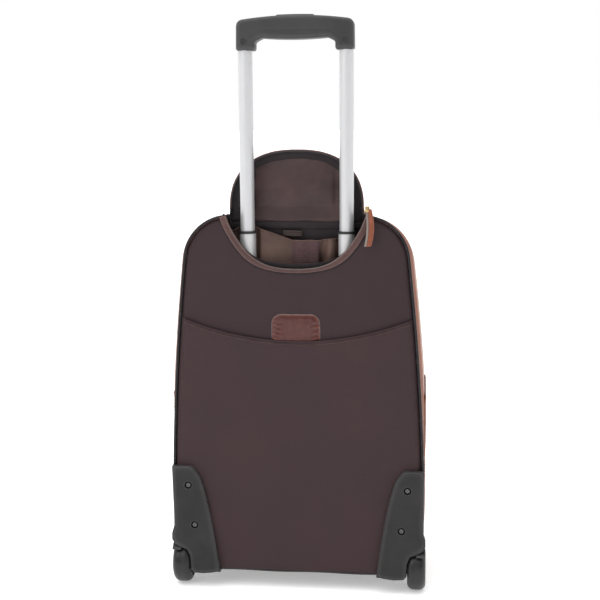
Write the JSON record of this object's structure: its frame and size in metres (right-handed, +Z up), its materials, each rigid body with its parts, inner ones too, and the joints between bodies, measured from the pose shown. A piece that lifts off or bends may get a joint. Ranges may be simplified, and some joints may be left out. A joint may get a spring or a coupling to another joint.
{
  "type": "rolling flight case",
  "caption": "Upright two-wheel soft cabin case with leather walls, telescopic tow handle in a zipped top compartment and a front-opening lid.",
  "frame": {"origin": "centre of the case's footprint box, on the floor it stands on", "axes": "+X across the case to the right as seen from behind, +Y to the lid and front pocket, -Y to the wheels and tow handle, +Z up"},
  "size_m": [0.362, 0.2195, 0.8008],
  "materials": {
    "brown_nylon": "fine plain weave, satin",
    "cognac_leather": "grained, polished",
    "brown_leather": "creased, semi-gloss",
    "black_piping": "gloss",
    "satin_lining": "satin",
    "webbing": "ribbed",
    "black_board": "textured",
    "spring_steel": "drawn",
    "tube_aluminium": "anodised satin",
    "black_plastic": "fine moulded texture",
    "white_nylon": "moulded",
    "housing_plastic": "moulded, semi-matte",
    "screw_black": "blackened",
    "tyre_rubber": "smooth",
    "hub_plastic": "moulded",
    "steel": "machined",
    "foot_rubber": "moulded",
    "zip_brass": "antique",
    "zip_black": "woven tape"
  },
  "bodies": {
    "case": {"back_panel": "brown_nylon", "pocket_panel": "brown_nylon", "pocket_tab": "brown_leather", "scoop_binding": "brown_leather", "back_piping": "black_piping", "side_wall": "cognac_leather", "side_overlay_left": "cognac_leather", "side_overlay_right": "cognac_leather", "base_panel": "black_board", "divider_board": "black_board", "compartment_lining": "satin_lining", "lining_webbing": "webbing", "blank_label": "brown_leather", "frame_hoops": "spring_steel", "upper_bracket": "black_plastic", "lower_bracket": "black_plastic", "fixed_tube_left": "tube_aluminium", "fixed_tube_right": "tube_aluminium", "fixed_tube_collars": "black_plastic", "wheel_housing_left": "housing_plastic", "wheel_housing_right": "housing_plastic", "housing_screws": "screw_black", "axles": "steel", "axle_nuts": "steel", "front_feet": "foot_rubber", "main_zip": "zip_black", "handle_anchors": "cognac_leather", "packing_straps": "webbing"},
    "middle_stage": {"middle_tube_left": "tube_aluminium", "middle_tube_right": "tube_aluminium", "middle_tube_collars": "black_plastic", "middle_tube_guides": "white_nylon"},
    "upper_stage": {"upper_tube_left": "tube_aluminium", "upper_tube_right": "tube_aluminium", "upper_tube_plugs": "white_nylon", "grip_rear_shell": "black_plastic", "grip_front_shell": "black_plastic", "grip_screws": "screw_black", "button_springs": "spring_steel"},
    "release": {"grip_button": "black_plastic", "release_rods": "steel"},
    "pin_left": {"lock_pin_left": "steel"},
    "pin_right": {"lock_pin_right": "steel"},
    "wheel_left": {"tyre_left": "tyre_rubber", "hub_left": "hub_plastic", "bearings_left": "steel"},
    "wheel_right": {"tyre_right": "tyre_rubber", "hub_right": "hub_plastic", "bearings_right": "steel"},
    "flap": {"flap_panel": "brown_nylon"},
    "flap_zip": {"flap_slider": "zip_brass"},
    "flap_pull": {"flap_pull": "cognac_leather"},
    "lid": {"lid_rim": "cognac_leather", "front_panel": "cognac_leather", "front_pocket": "cognac_leather", "front_piping": "black_piping"},
    "lid_zip": {"pocket_slider": "zip_brass"},
    "zip_left": {"main_slider_left": "zip_brass"},
    "zip_right": {"main_slider_right": "zip_brass"},
    "carry_handle": {"carry_handle": "cognac_leather"}
  },
  "joints": [
    {"name": "middle_slide", "type": "slide", "parent": "case", "child": "middle_stage", "axis": [0, 0, 1], "range_m": [-0.025, 0.235]},
    {"name": "upper_slide", "type": "slide", "parent": "middle_stage", "child": "upper_stage", "axis": [0, 0, 1], "range_m": [-0.24, 0]},
    {"name": "release_press", "type": "slide", "parent": "upper_stage", "child": "release", "axis": [0, 0, -1], "range_m": [0, 0.004], "stiffness_N_per_m": 900, "springref_m": -0.003, "deforming": ["button_springs"]},
    {"name": "pin_left_draw", "type": "slide", "parent": "upper_stage", "child": "pin_left", "axis": [1, 0, 0], "range_m": [0, 0.002]},
    {"name": "pin_right_draw", "type": "slide", "parent": "upper_stage", "child": "pin_right", "axis": [-1, 0, 0], "range_m": [0, 0.002]},
    {"name": "wheel_left_spin", "type": "hinge", "parent": "case", "child": "wheel_left", "pos_m": [-0.1678, -0.07775, 0.0315], "axis": [1, 0, 0], "continuous": true},
    {"name": "wheel_right_spin", "type": "hinge", "parent": "case", "child": "wheel_right", "pos_m": [0.1678, -0.07775, 0.0315], "axis": [1, 0, 0], "continuous": true},
    {"name": "flap_fold", "type": "hinge", "parent": "case", "child": "flap", "pos_m": [0, -0.05125, 0.5375], "axis": [-1, 0, 0], "range_deg": [-6, 68]},
    {"name": "flap_zip_run", "type": "hinge", "parent": "case", "child": "flap_zip", "pos_m": [0, -0.10175, 0.5615], "axis": [0, -1, 0], "range_deg": [-158, 0]},
    {"name": "flap_pull_swing", "type": "hinge", "parent": "flap_zip", "child": "flap_pull", "pos_m": [0.098, -0.10775, 0.5425], "axis": [0, 1, 0], "range_deg": [-158, 40]},
    {"name": "lid_open", "type": "hinge", "parent": "case", "child": "lid", "pos_m": [0, 0.06725, 0.028], "axis": [-1, 0, 0], "range_deg": [0, 95]},
    {"name": "lid_zip_run", "type": "slide", "parent": "lid", "child": "lid_zip", "axis": [1, 0, 0], "range_m": [0, 0.19]},
    {"name": "zip_left_run", "type": "hinge", "parent": "case", "child": "zip_left", "pos_m": [0, 0.06575, -0.06532], "axis": [0, -1, 0], "range_deg": [0, 8.5]},
    {"name": "zip_right_run", "type": "hinge", "parent": "case", "child": "zip_right", "pos_m": [0, 0.06575, -0.06532], "axis": [0, 1, 0], "range_deg": [0, 8.5]},
    {"name": "carry_handle_fold", "type": "hinge", "parent": "case", "child": "carry_handle", "pos_m": [0, -0.01175, 0.53014], "axis": [-1, 0, 0], "range_deg": [-95, 0]}
  ],
  "couplings": [
    {"joint": "pin_left_draw", "follows": "release_press", "ratio": 0.5},
    {"joint": "pin_right_draw", "follows": "release_press", "ratio": 0.5}
  ]
}
